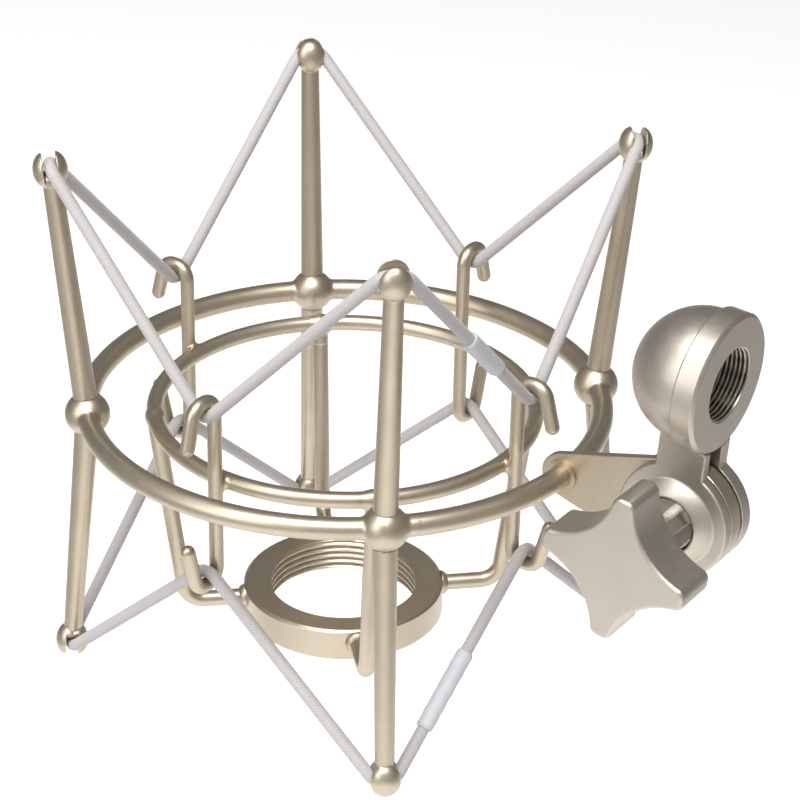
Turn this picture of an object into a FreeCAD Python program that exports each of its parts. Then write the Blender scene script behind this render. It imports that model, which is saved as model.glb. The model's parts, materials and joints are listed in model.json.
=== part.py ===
"""Elastic suspension mount ("spider" shock mount) for a side-address condenser microphone.

An outer frame of round rod carries eight slotted posts.  Two elastic cords zigzag between the
posts and the hooks of an inner cradle, and the cradle ends in a threaded collar that the
microphone's base screws into.  A flat arm joins the frame to a yoke with a clamp screw and
star knob, and the yoke carries the female thread for a microphone stand.

Millimetres.  The origin is the centre of the collar's top face, the seat of the microphone,
and +Z runs up the microphone's axis.
"""
import FreeCAD
import Part
import Sketcher
import math
import os
from FreeCAD import Placement, Rotation, Vector

DIMENSIONS = {
    # outer frame
    "ring_level": 45.0,            # height of the outer ring's plane above the seat
    "ring_radius": 55.0,
    "ring_wire": 4.7,
    "node_ball": 9.6,
    "post_root": 5.2,
    "post_end": 3.9,
    "post_rise": 55.8,             # from the ring's plane to the centre of a post's end ball
    "post_spread": 60.4,           # radius at which those centres lie
    "ear_tangent": 6.6,            # the end ball's three widths
    "ear_radial": 7.1,
    "ear_along": 7.5,
    "ear_spread": 0.9,             # the ball's two halves stand this far apart from its centre
    "slot_width": 2.8,
    "saddle_radius": 2.5,          # rounded floor of the slot, which the cord bends over
    # elastic cords
    "cord": 2.7,
    "cord_lift": 1.0,              # cord centre above the centre of the end ball
    "cord_gap": 0.1,
    "sleeve_wall": 0.5,
    "upper_sleeve": 14.0,
    "lower_sleeve": 18.0,
    # inner cradle
    "cradle_level": 43.3,          # height of the inner ring's plane above the seat
    "cradle_radius": 40.8,
    "cradle_wire": 3.5,
    "hook_wire": 3.0,
    "hook_radius": 43.8,           # radius of the circle that the four upright wires stand on
    "hook_bend": 3.1,
    "hook_top": 63.3,              # height of the wire's centre at the top of the upper bend
    "hook_top_tip": 55.1,
    "hook_foot": 21.4,
    "hook_foot_tip": 31.6,
    "hook_lean": 15.0,             # outward lean of both tips from the vertical
    "leg_wire": 3.5,
    "leg_bend": 4.6,
    "leg_foot_radius": 35.0,
    "leg_foot_depth": 2.9,         # depth of the leg's horizontal foot below the seat
    "weld_width": 5.4,
    "weld_depth": 3.4,
    # threaded collar: M34 x 1.5
    "collar_radius": 22.1,
    "collar_depth": 7.3,
    "collar_bore": 16.2,
    "collar_pitch": 1.5,
    "collar_thread_depth": 0.8,
    "collar_chamfer": 0.6,
    # arm of the swivel
    "arm_angle": 44.0,             # the arm's direction, clockwise from the right-hand post
    "arm_length": 27.0,            # from the ring's wire to the clamp screw
    "arm_end": 4.8,
    "arm_plate": 2.0,
    "arm_edge": 0.35,
    "arm_collar": 3.5,
    "arm_collar_rise": 0.6,
    "ring_gap": 0.03,
    # yoke, measured from the middle of the arm's plate along the clamp screw
    "yoke_tilt": 3.7,              # nose-down turn of the yoke about the clamp screw
    "ear_disc": 12.2,
    "front_face": 3.5,
    "slot_front": 1.3,
    "slot_back": 3.5,
    "back_face": 6.8,
    "slot_top": 16.4,
    "neck_half": 5.3,
    "neck_top": 20.0,
    "crown_base": 9.3,
    "crown_top": 6.35,
    "crown_rise": 2.4,
    "crown_bore": 6.0,
    "crown_bore_depth": 2.4,
    "nut_boss": 6.6,
    "nut_boss_rise": 2.2,
    "nut_circumradius": 4.62,
    "nut_thickness": 3.0,
    "cast_edge": 0.4,
    # stand adapter: 5/8 inch, 27 threads per inch
    "dome_radius": 13.6,
    "dome_level": 30.7,            # height of the stand thread's axis above the clamp screw
    "dome_side": 1.65,             # offset of that axis from the arm's plate
    "dome_centre": -0.4,
    "seam": 0.6,
    "rim_radius": 14.5,
    "rim_width": 5.0,
    "rim_chamfer": 0.7,
    "bush_radius": 10.0,
    "bush_depth": 7.6,
    "stand_bore": 7.43,
    "stand_pitch": 0.9407,
    "stand_thread_depth": 0.5,
    "mouth_chamfer": 0.5,
    # clamp screw, knob and washers
    "screw": 5.0,
    "screw_gap": 0.1,
    "nut_gap": 0.05,
    "screw_end": 9.6,
    "screw_head": 20.0,
    "spacer_radius": 11.9,
    "spacer_back": 3.0,
    "friction_radius": 11.2,
    "shim_radius": 11.2,
    "washer_radius": 5.5,
    "washer_thickness": 1.6,
    "washer_seat": 3.55,
    "knob_back": 16.6,
    "knob_thickness": 10.4,
    "knob_radius": 15.9,
    "knob_scallop": 15.7,
    "knob_scallop_centre": 25.1,
    "knob_tip": 1.9,
    "knob_edge": 0.8,
    "knob_turned": 6.5,
    "knob_core": 2.8,
    "knob_rib": 4.9,
    "knob_rib_width": 2.6,
}

POSTS = {"front": -90.0, "right": 0.0, "back": 90.0, "left": 180.0}
HOOKS = {"front_right": -45.0, "back_right": 45.0, "back_left": 135.0, "front_left": 225.0}
FULL_TURN = 360.0
RIGHT_ANGLE = 90.0

doc = FreeCAD.newDocument("ShockMount")
sheet = doc.addObject("Spreadsheet::Sheet", "dims")
for row, (alias, value) in enumerate(DIMENSIONS.items(), start=1):
    sheet.set("A%d" % row, alias)
    sheet.set("B%d" % row, str(value))
    sheet.setAlias("B%d" % row, alias)
doc.recompute()

sub_parts = []


def size(alias):
    """A driving dimension, read back from the sheet."""
    return float(getattr(sheet, alias))


def bind(obj, **expressions):
    """Tie properties of an object to the sheet: an alias, or an expression of aliases."""
    for prop, text in expressions.items():
        words = text.replace("(", " ( ").replace(")", " ) ").split()
        linked = ["dims." + word if word in DIMENSIONS else word for word in words]
        obj.setExpression(prop, " ".join(linked))
    return obj


def primitive(kind, name, place=None, **expressions):
    """A Part primitive whose sizes are bound to the sheet."""
    obj = doc.addObject("Part::" + kind, name)
    if place is not None:
        obj.Placement = place
    return bind(obj, **expressions)


def cut(name, base, tool):
    obj = doc.addObject("Part::Cut", name)
    obj.Base = base
    obj.Tool = tool
    return obj


def fuse(name, shapes):
    obj = doc.addObject("Part::MultiFuse", name)
    obj.Shapes = shapes
    return obj


def common(name, base, tool):
    obj = doc.addObject("Part::Common", name)
    obj.Base = base
    obj.Tool = tool
    return obj


def finished(obj, label):
    """Name a finished sub-part; the label is also its file's name."""
    obj.Label = label
    sub_parts.append(obj)
    return obj


def turned(axis, degrees):
    return Rotation(axis, degrees)


X_AXIS = Vector(1, 0, 0)
Y_AXIS = Vector(0, 1, 0)
Z_AXIS = Vector(0, 0, 1)
ALONG_Y = turned(X_AXIS, -RIGHT_ANGLE)     # turns a primitive's own +Z to +Y
ALONG_X = turned(Y_AXIS, RIGHT_ANGLE)      # turns a primitive's own +Z to +X


def polar(radius, degrees, height):
    angle = math.radians(degrees)
    return Vector(radius * math.cos(angle), radius * math.sin(angle), height)


def at(x=0.0, y=0.0, z=0.0, rotation=None):
    return Placement(Vector(x, y, z), rotation or Rotation())


def rounded_path(corners, radii, closed=False):
    """Straight runs joined by tangent arcs: a wire through the corners, rounded by the radii."""
    count = len(corners)
    starts, ends, edges = {}, {}, []
    turns = range(count) if closed else range(1, count - 1)
    for i in turns:
        back = (corners[i - 1] - corners[i]).normalize()
        ahead = (corners[(i + 1) % count] - corners[i]).normalize()
        half_angle = back.getAngle(ahead) / 2
        reach = radii[i] / math.tan(half_angle)
        bisector = (back + ahead).normalize()
        centre = corners[i] + bisector * (radii[i] / math.sin(half_angle))
        starts[i] = corners[i] + back * reach
        ends[i] = corners[i] + ahead * reach
        middle = centre - bisector * radii[i]
        edges.append((i, Part.Arc(starts[i], middle, ends[i]).toShape()))
    if not closed:
        ends[0] = corners[0]
        starts[count - 1] = corners[-1]
    path = []
    arcs = dict(edges)
    runs = count if closed else count - 1
    for i in range(runs):
        if i in arcs:
            path.append(arcs[i])
        path.append(Part.LineSegment(ends[i], starts[(i + 1) % count]).toShape())
    return Part.Wire(path)


def swept(name, path, diameter_alias):
    """A round section swept along a wire; the section's size is bound to the sheet."""
    spine = doc.addObject("Part::Feature", name + "_path")
    spine.Shape = path
    first = path.Edges[0]
    section = primitive("Circle", name + "_section", Radius=diameter_alias + " / 2")
    start = first.valueAt(first.FirstParameter)
    direction = first.tangentAt(first.FirstParameter)
    section.Placement = Placement(start, Rotation(Z_AXIS, direction))
    sweep = doc.addObject("Part::Sweep", name + "_sweep")
    sweep.Sections = [section]
    sweep.Spine = (spine, ["Edge%d" % (i + 1) for i in range(len(path.Edges))])
    sweep.Solid = True
    sweep.Frenet = False
    return sweep


# ---------------------------------------------------------------- outer frame

def build_outer_ring():
    ring = primitive("Torus", "OuterRing", at(z=size("ring_level")),
                     Radius1="ring_radius", Radius2="ring_wire / 2")
    return finished(ring, "outer_ring")


def build_node_ball(side):
    """A ball threaded on the ring; returns a whole ball that the posts are seated on."""
    whole = primitive("Sphere", "NodeSphere_" + side,
                      Placement(polar(size("ring_radius"), POSTS[side], size("ring_level")), Rotation()),
                      Radius="node_ball / 2")
    blank = primitive("Sphere", "NodeBlank_" + side, at(size("ring_radius"), 0, size("ring_level")),
                      Radius="node_ball / 2")
    ring_side = primitive("Torus", "NodeHole_" + side,
                          at(z=size("ring_level"), rotation=turned(Z_AXIS, 3 * RIGHT_ANGLE / 2)),
                          Radius1="ring_radius", Radius2="ring_wire / 2")
    ball = cut("NodeBall_" + side, blank, ring_side)
    ball.Placement = Placement(Vector(), turned(Z_AXIS, POSTS[side]))
    finished(ball, side + "_node_ball")
    return whole


def post_lean():
    """A post's outward lean from the vertical, and its length between ball centres."""
    outward = size("post_spread") - size("ring_radius")
    return math.degrees(math.atan2(outward, size("post_rise"))), math.hypot(outward, size("post_rise"))


def build_post(level, side, node_sphere):
    """A tapered post: it springs from the node ball and ends in a ball with a slot across it."""
    name = level + "_" + side
    lean, length = post_lean()
    pitch = lean if level == "upper" else 2 * RIGHT_ANGLE - lean
    heading = turned(Z_AXIS, POSTS[side]) * turned(Y_AXIS, pitch)
    root = Placement(polar(size("ring_radius"), POSTS[side], size("ring_level")), heading)
    end = root * at(z=length)
    rod = primitive("Cone", "Rod_" + name, root, Radius1="post_root / 2", Radius2="post_end / 2")
    rod.Height = length
    halves = [primitive("Ellipsoid", "EndBall%d_%s" % (way, name), end * at(x=way * size("ear_spread")),
                        Radius1="ear_along / 2", Radius2="ear_radial / 2 - ear_spread",
                        Radius3="ear_tangent / 2") for way in (-1, 1)]
    floor = size("cord_lift") - size("cord") / 2
    slot = primitive("Box", "Slot_" + name,
                     end * at(-size("slot_width") / 2, -size("ear_tangent"), floor - size("saddle_radius")),
                     Length="slot_width", Width="2 * ear_tangent", Height="2 * ear_along")
    saddle = primitive("Cylinder", "Saddle_" + name,
                       end * at(-size("ear_radial"), 0, floor - size("saddle_radius"), ALONG_X),
                       Radius="saddle_radius", Height="2 * ear_radial")
    blank = fuse("PostBlank_" + name, [rod] + halves)
    seated = cut("PostSeated_" + name, blank, node_sphere)
    finished(cut("Post_" + name, seated, cut("SlotShape_" + name, slot, saddle)),
             "%s_post_%s" % (level, side))


# ---------------------------------------------------------------- elastic cords

def cord_corners(level):
    """Corners of the cord's closed zigzag, so that its arcs rest on the slots and the hooks."""
    up = 1.0 if level == "upper" else -1.0
    lean, length = post_lean()
    post_point = Vector(size("ring_radius"), 0, size("ring_level"))
    reach = length + size("cord_lift")
    post_point += Vector(math.sin(math.radians(lean)), 0, up * math.cos(math.radians(lean))) * reach
    wrap = (size("cord") + size("hook_wire")) / 2 + size("cord_gap")
    bend_level = size("hook_top") if level == "upper" else size("hook_foot")
    hook_point = polar(size("hook_radius") + size("hook_bend"), RIGHT_ANGLE / 2, bend_level - up * wrap)
    radii = (size("saddle_radius") + size("cord") / 2, wrap)
    tip, hook = Vector(post_point), Vector(hook_point)
    for _ in range(8):
        across = polar(1.0, RIGHT_ANGLE, 0)
        mirrored_hook = Vector(hook.x, -hook.y, hook.z)
        tip = post_point - overhang(tip, hook, mirrored_hook, radii[0])
        next_tip = across * tip.x + Z_AXIS * tip.z
        hook = hook_point - overhang(hook, tip, next_tip, radii[1])
    corners, roundings = [], []
    for quarter in range(4):
        spin = turned(Z_AXIS, quarter * RIGHT_ANGLE)
        corners += [spin.multVec(tip), spin.multVec(hook)]
        roundings += radii
    return corners, roundings


def overhang(corner, one_way, other_way, radius):
    """Vector from a corner of the path to the middle of the arc that rounds it, reversed."""
    back = (one_way - corner).normalize()
    ahead = (other_way - corner).normalize()
    half_angle = back.getAngle(ahead) / 2
    return (back + ahead).normalize() * (radius / math.sin(half_angle) - radius)


def build_cord(level):
    corners, roundings = cord_corners(level)
    path = rounded_path(corners, roundings, closed=True)
    finished(swept("Cord_" + level, path, "cord"), level + "_elastic")
    front_tip, front_right_hook = corners[-2], corners[-1]
    return front_tip, front_right_hook


def build_sleeve(level, tip, hook, share):
    """The wrapped join of a cord, part of the way from the front post to the next hook."""
    run = (hook - tip)
    middle = tip + run * share
    along = Rotation(Z_AXIS, run)
    length = size(level + "_sleeve")
    place = Placement(middle, along) * at(z=-length / 2)
    outer = primitive("Cylinder", "SleeveOuter_" + level, place,
                      Radius="cord / 2 + sleeve_wall", Height=level + "_sleeve")
    inner = primitive("Cylinder", "SleeveInner_" + level, place, Radius="cord / 2", Height=level + "_sleeve")
    finished(cut("Sleeve_" + level, outer, inner), level + "_splice_sleeve")


# ---------------------------------------------------------------- inner cradle

def build_inner_ring():
    ring = primitive("Torus", "InnerRing", at(z=size("cradle_level")),
                     Radius1="cradle_radius", Radius2="cradle_wire / 2")
    return finished(ring, "inner_ring")


def build_hook(corner, inner_ring):
    """One bent wire: an outward hook at the top, a straight upright and a hook at the foot."""
    angle = HOOKS[corner]
    near = size("hook_radius")
    far = near + 2 * size("hook_bend")
    bend = size("hook_bend")
    slope = math.tan(math.radians(size("hook_lean")))
    top_tip = far + (size("hook_top") - size("hook_top_tip")) * slope
    foot_tip = far + (size("hook_foot_tip") - size("hook_foot")) * slope
    corners = [polar(top_tip, angle, size("hook_top_tip")),
               polar(far, angle, size("hook_top")),
               polar(near, angle, size("hook_top")),
               polar(near, angle, size("hook_foot")),
               polar(far, angle, size("hook_foot")),
               polar(foot_tip, angle, size("hook_foot_tip"))]
    tight = bend * 0.999
    path = rounded_path(corners, [0, tight, tight, tight, tight, 0])
    wire = swept("HookWire_" + corner, path, "hook_wire")
    ends = [primitive("Sphere", "HookTip%d_%s" % (i, corner), Placement(point, Rotation()),
                      Radius="hook_wire / 2")
            for i, point in enumerate((corners[0], corners[-1]))]
    blank = fuse("HookBlank_" + corner, [wire] + ends)
    finished(cut("Hook_" + corner, blank, inner_ring), corner + "_hook_wire")


def build_leg(side):
    """A leg from the inner ring down to the side of the collar, with its weld bead."""
    middle = -size("leg_foot_depth")
    corners = [polar(size("cradle_radius"), 0, size("cradle_level") - size("cradle_wire") / 4),
               polar(size("leg_foot_radius"), 0, middle),
               polar(size("collar_radius") - 0.3, 0, middle)]
    wire = swept("LegWire_" + side, rounded_path(corners, [0, size("leg_bend"), 0]), "leg_wire")
    bead = primitive("Ellipsoid", "LegBead_" + side, at(size("collar_radius"), 0, middle),
                     Radius1="weld_width / 2", Radius2="weld_depth / 2", Radius3="weld_width / 2")
    blank = fuse("LegBlank_" + side, [wire, bead])
    facing = turned(Z_AXIS, RIGHT_ANGLE / 2)
    collar_side = primitive("Cylinder", "CollarSide_" + side,
                            at(z=-2 * size("collar_depth"), rotation=facing),
                            Radius="collar_radius", Height="4 * collar_depth")
    ring_side = primitive("Torus", "RingSide_" + side, at(z=size("cradle_level"), rotation=facing),
                          Radius1="cradle_radius", Radius2="cradle_wire / 2")
    lower = cut("LegLower_" + side, blank, collar_side)
    leg = cut("Leg_" + side, lower, ring_side)
    leg.Placement = Placement(Vector(), turned(Z_AXIS, POSTS[side]))
    finished(leg, side + "_cradle_leg")


def sketch_on(body, name, plane_role):
    """A new sketch on one of a body's own origin planes."""
    sketch = body.newObject("Sketcher::SketchObject", name)
    plane = [f for f in body.Origin.OriginFeatures if f.Role == plane_role][0]
    sketch.AttachmentSupport = [(plane, "")]
    sketch.MapMode = "FlatFace"
    return sketch


def close_loop(sketch, lines):
    """Join the ends of consecutive lines of a sketch."""
    for i, line in enumerate(lines):
        sketch.addConstraint(Sketcher.Constraint("Coincident", line, 2, lines[(i + 1) % len(lines)], 1))


def rectangle(sketch, low, high, **expressions):
    """A rectangle whose sides are held by named distances from the origin."""
    points = [Vector(low[0], low[1], 0), Vector(high[0], low[1], 0),
              Vector(high[0], high[1], 0), Vector(low[0], high[1], 0)]
    lines = [sketch.addGeometry(Part.LineSegment(points[i], points[(i + 1) % 4]), False) for i in range(4)]
    close_loop(sketch, lines)
    for line, kind in zip(lines, ("Horizontal", "Vertical", "Horizontal", "Vertical")):
        sketch.addConstraint(Sketcher.Constraint(kind, line))
    held = (("left", "DistanceX", 0, 1, low[0]), ("bottom", "DistanceY", 0, 1, low[1]),
            ("right", "DistanceX", 2, 1, high[0]), ("top", "DistanceY", 2, 1, high[1]))
    for name, kind, line, end, value in held:
        index = sketch.addConstraint(Sketcher.Constraint(kind, -1, 1, lines[line], end, value))
        sketch.renameConstraint(index, name)
        if name in expressions:
            bind(sketch, **{"Constraints." + name: expressions[name]})
    return lines


def threaded_ring(body, prefix, low, high, expressions, bore, pitch, depth, top_groove, grooves):
    """Revolve a ring about the body's Z axis and cut evenly spaced thread grooves in its bore."""
    sketch = sketch_on(body, prefix + "Profile", "XZ_Plane")
    rectangle(sketch, low, high, **expressions)
    ring = body.newObject("PartDesign::Revolution", prefix + "Ring")
    ring.Profile = sketch
    ring.ReferenceAxis = (sketch, ["V_Axis"])
    ring.Angle = FULL_TURN
    doc.recompute()
    groove_sketch = sketch_on(body, prefix + "GrooveProfile", "XZ_Plane")
    half_width = 0.33 * size(pitch)
    inside = size(bore) - 0.2
    flank = 0.2 * half_width / size(depth)
    corners = [Vector(inside, top_groove + half_width + flank, 0),
               Vector(size(bore) + size(depth), top_groove, 0),
               Vector(inside, top_groove - half_width - flank, 0)]
    lines = [groove_sketch.addGeometry(Part.LineSegment(corners[i], corners[(i + 1) % 3]), False)
             for i in range(3)]
    close_loop(groove_sketch, lines)
    groove_sketch.addConstraint(Sketcher.Constraint("Vertical", lines[2]))
    index = groove_sketch.addConstraint(
        Sketcher.Constraint("DistanceX", -1, 1, lines[0], 2, size(bore) + size(depth)))
    groove_sketch.renameConstraint(index, "root")
    bind(groove_sketch, **{"Constraints.root": bore + " + " + depth})
    groove = body.newObject("PartDesign::Groove", prefix + "Groove")
    groove.Profile = groove_sketch
    groove.ReferenceAxis = (groove_sketch, ["V_Axis"])
    groove.Angle = FULL_TURN
    doc.recompute()
    pattern = body.newObject("PartDesign::LinearPattern", prefix + "Thread")
    pattern.Originals = [groove]
    pattern.Direction = (groove_sketch, ["V_Axis"])
    pattern.Reversed = True
    pattern.Occurrences = grooves
    bind(pattern, Length="%d * %s" % (grooves - 1, pitch))
    body.Tip = pattern
    doc.recompute()
    return pattern


def edges_where(shape, test):
    return ["Edge%d" % (i + 1) for i, edge in enumerate(shape.Edges) if test(edge)]


def circle_edges(shape, radius, height, tolerance=0.01):
    """Names of the circular edges about Z with a given radius and height."""
    def fits(edge):
        curve = edge.Curve
        return (isinstance(curve, Part.Circle) and abs(curve.Radius - radius) < tolerance
                and abs(curve.Center.z - height) < tolerance)
    return edges_where(shape, fits)


def dress(body, kind, base, edges, name, **expressions):
    """A PartDesign fillet or chamfer on named edges."""
    obj = body.newObject("PartDesign::" + kind, name)
    obj.Base = (base, edges)
    bind(obj, **expressions)
    body.Tip = obj
    doc.recompute()
    return obj


def build_collar():
    body = doc.addObject("PartDesign::Body", "Collar")
    grooves = 4
    top_groove = -0.95
    pattern = threaded_ring(body, "Collar", (size("collar_bore"), -size("collar_depth")),
                            (size("collar_radius"), 0.0),
                            {"left": "collar_bore", "bottom": "0 - collar_depth", "right": "collar_radius"},
                            "collar_bore", "collar_pitch", "collar_thread_depth", top_groove, grooves)
    rims = (circle_edges(pattern.Shape, size("collar_radius"), 0.0)
            + circle_edges(pattern.Shape, size("collar_radius"), -size("collar_depth")))
    dress(body, "Chamfer", pattern, rims, "CollarChamfer", Size="collar_chamfer")
    return finished(body, "threaded_collar")


# ---------------------------------------------------------------- swivel arm

def swivel_frame():
    """Centre of the clamp screw at the arm's plate: X outward, Y along the screw, Z up."""
    reach = size("ring_radius") + size("arm_length")
    heading = turned(Z_AXIS, -size("arm_angle"))
    return Placement(polar(reach, -size("arm_angle"), size("ring_level")), heading)


def yoke_frame():
    return swivel_frame() * Placement(Vector(), turned(Y_AXIS, size("yoke_tilt")))


def build_arm():
    """A flat teardrop plate: the ring's wire passes through its small end."""
    body = doc.addObject("PartDesign::Body", "Arm")
    sketch = sketch_on(body, "ArmOutline", "XZ_Plane")
    small, large, length = size("arm_end"), size("ear_disc"), size("arm_length")
    slope = math.asin((large - small) / length)
    far = Vector(-length, 0, 0)
    normal = Vector(math.cos(math.pi / 2 + slope), math.sin(math.pi / 2 + slope), 0)
    lower_normal = Vector(normal.x, -normal.y, 0)
    large_arc = Part.ArcOfCircle(Part.Circle(Vector(), Z_AXIS, large),
                                 -(math.pi / 2 + slope), math.pi / 2 + slope)
    small_arc = Part.ArcOfCircle(Part.Circle(far, Z_AXIS, small),
                                 math.pi / 2 + slope, 3 * math.pi / 2 - slope)
    big = sketch.addGeometry(large_arc, False)
    top = sketch.addGeometry(Part.LineSegment(normal * large, far + normal * small), False)
    end = sketch.addGeometry(small_arc, False)
    low = sketch.addGeometry(Part.LineSegment(far + lower_normal * small, lower_normal * large), False)
    for first, first_end, second, second_end in ((big, 2, top, 1), (top, 2, end, 1),
                                                 (end, 2, low, 1), (low, 2, big, 1)):
        sketch.addConstraint(Sketcher.Constraint("Tangent", first, first_end, second, second_end))
    ring_hole = sketch.addGeometry(Part.Circle(far, Z_AXIS, size("ring_wire") / 2), False)
    screw_hole = sketch.addGeometry(Part.Circle(Vector(), Z_AXIS, size("screw") / 2), False)
    sketch.addConstraint(Sketcher.Constraint("Coincident", big, 3, -1, 1))
    sketch.addConstraint(Sketcher.Constraint("Coincident", screw_hole, 3, -1, 1))
    sketch.addConstraint(Sketcher.Constraint("Coincident", ring_hole, 3, end, 3))
    sketch.addConstraint(Sketcher.Constraint("PointOnObject", end, 3, -1))
    named = (("length", Sketcher.Constraint("DistanceX", end, 3, -1, 1, length), "arm_length"),
             ("large", Sketcher.Constraint("Radius", big, large), "ear_disc"),
             ("small", Sketcher.Constraint("Radius", end, small), "arm_end"),
             ("ring", Sketcher.Constraint("Radius", ring_hole, size("ring_wire") / 2),
              "ring_wire / 2 + ring_gap"),
             ("screw", Sketcher.Constraint("Radius", screw_hole, size("screw") / 2),
              "screw / 2 + screw_gap"))
    for name, constraint, text in named:
        sketch.renameConstraint(sketch.addConstraint(constraint), name)
        bind(sketch, **{"Constraints." + name: text})
    plate = body.newObject("PartDesign::Pad", "ArmPlate")
    plate.Profile = sketch
    plate.Midplane = True
    bind(plate, Length="arm_plate")
    doc.recompute()
    half = size("arm_plate") / 2

    def outline(edge):
        box = edge.BoundBox
        on_face = abs(abs(box.YMin) - half) < 0.01 and box.YLength < 0.01
        hole = isinstance(edge.Curve, Part.Circle) and edge.Curve.Radius < small - 0.5
        return on_face and not hole
    dress(body, "Fillet", plate, edges_where(plate.Shape, outline), "ArmEdge", Radius="arm_edge")
    collar_sketch = sketch_on(body, "ArmCollarOutline", "XZ_Plane")
    rings = (("outer", "arm_collar"), ("inner", "ring_wire / 2 + ring_gap"))
    for name, text in rings:
        ring = collar_sketch.addGeometry(Part.Circle(far, Z_AXIS, size("arm_collar")
                                                     if name == "outer" else size("ring_wire") / 2), False)
        collar_sketch.addConstraint(Sketcher.Constraint("PointOnObject", ring, 3, -1))
        place = collar_sketch.addConstraint(Sketcher.Constraint("DistanceX", ring, 3, -1, 1, length))
        collar_sketch.renameConstraint(place, name + "_place")
        bind(collar_sketch, **{"Constraints." + name + "_place": "arm_length"})
        radius = collar_sketch.addConstraint(Sketcher.Constraint("Radius", ring, size("ring_wire")))
        collar_sketch.renameConstraint(radius, name + "_radius")
        bind(collar_sketch, **{"Constraints." + name + "_radius": text})
    collar = body.newObject("PartDesign::Pad", "ArmCollar")
    collar.Profile = collar_sketch
    collar.Midplane = True
    bind(collar, Length="arm_plate + 2 * arm_collar_rise")
    body.Tip = collar
    doc.recompute()
    body.Placement = swivel_frame()
    return finished(body, "swivel_arm")


# ---------------------------------------------------------------- yoke and stand adapter

def disc(name, frame, radius, front, back):
    """A cylinder along the clamp screw's axis, between two distances behind the arm's plate."""
    obj = primitive("Cylinder", name, frame * at(y=front, rotation=ALONG_Y), Radius=radius)
    obj.Height = back - front
    return obj


def build_yoke():
    """One casting: two ears on a neck, and the domed housing of the stand thread."""
    frame = yoke_frame()
    front, back = -size("front_face"), size("back_face")
    ears = disc("EarDiscs", frame, "ear_disc", front, back)
    neck = primitive("Box", "Neck", frame * at(-size("neck_half"), front, 0),
                     Length="2 * neck_half", Width="front_face + back_face", Height="neck_top")
    solid = fuse("EarsAndNeck", [ears, neck])
    reach = 2 * size("ear_disc")
    slot = primitive("Box", "EarSlot", frame * at(-reach / 2 - 1, -size("slot_front"), -reach),
                     Width="slot_front + slot_back", Height="slot_top + 2 * ear_disc")
    slot.Length = reach + 2
    ears_open = cut("EarsSlotted", solid, slot)
    rim_edges = doc.addObject("Part::Fillet", "EarEdges")
    rim_edges.Base = ears_open
    doc.recompute()

    def ear_rim(edge):
        centre = edge.CenterOfMass
        local = frame.inverse().multVec(centre)
        flat = abs(local.y - front) < 0.01 or abs(local.y - back) < 0.01
        return flat and edge.Length > 2 * size("cast_edge")
    chosen = [i + 1 for i, edge in enumerate(ears_open.Shape.Edges) if ear_rim(edge)]
    rim_edges.Edges = [(i, size("cast_edge"), size("cast_edge")) for i in chosen]
    base, top, rise = size("crown_base"), size("crown_top"), size("crown_rise")
    sunk = (base ** 2 - top ** 2 - rise ** 2) / (2 * rise)
    crown_ball = primitive("Sphere", "CrownBall", frame * at(y=front + sunk))
    crown_ball.Radius = math.hypot(base, sunk)
    crown_limit = disc("CrownLimit", frame, "crown_base", front - rise, front + size("cast_edge"))
    crown = common("Crown", crown_ball, crown_limit)
    nut_boss = disc("NutBoss", frame, "nut_boss", back - size("cast_edge"), back + size("nut_boss_rise"))
    dome = primitive("Sphere", "DomeSphere",
                     frame * at(size("dome_centre"), size("dome_side"), size("dome_level")),
                     Radius="dome_radius")
    band = primitive("Cylinder", "DomeBand",
                     frame * at(size("dome_centre"), size("dome_side"), size("dome_level"), ALONG_X),
                     Radius="dome_radius", Height="seam - dome_centre")
    behind_seam = primitive("Box", "BehindSeam",
                            frame * at(size("seam") - 2 * size("dome_radius"),
                                       size("dome_side") - 2 * size("dome_radius"),
                                       size("dome_level") - 2 * size("dome_radius")),
                            Length="2 * dome_radius", Width="4 * dome_radius", Height="4 * dome_radius")
    half_dome = common("HalfDome", dome, behind_seam)
    casting = fuse("Casting", [rim_edges, crown, nut_boss, half_dome, band])
    centre = frame * at(0, size("dome_side"), size("dome_level"), ALONG_X)
    bush_hole = primitive("Cylinder", "BushHole", centre * at(z=size("seam") - size("bush_depth")),
                          Radius="bush_radius", Height="bush_depth + rim_width")
    rim_room = primitive("Cylinder", "RimRoom", centre * at(z=size("seam")),
                         Radius="rim_radius", Height="2 * rim_width")
    crown_bore = disc("CrownBore", frame, "crown_bore", front - size("crown_rise") - 1,
                      front - size("crown_rise") + size("crown_bore_depth"))
    screw_hole = disc("ScrewHole", frame, "screw / 2 + screw_gap", front - 5, back + 5)
    nut_depth = size("nut_thickness") + 0.2
    nut_pocket = primitive("Prism", "NutPocket",
                           frame * at(y=back + size("nut_boss_rise") - nut_depth, rotation=ALONG_Y),
                           Circumradius="nut_circumradius + nut_gap")
    nut_pocket.Polygon = 6
    nut_pocket.Height = 2 * nut_depth
    holes = fuse("YokeHoles", [bush_hole, rim_room, crown_bore, screw_hole, nut_pocket])
    return finished(cut("Yoke", casting, holes), "swivel_yoke")


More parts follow.
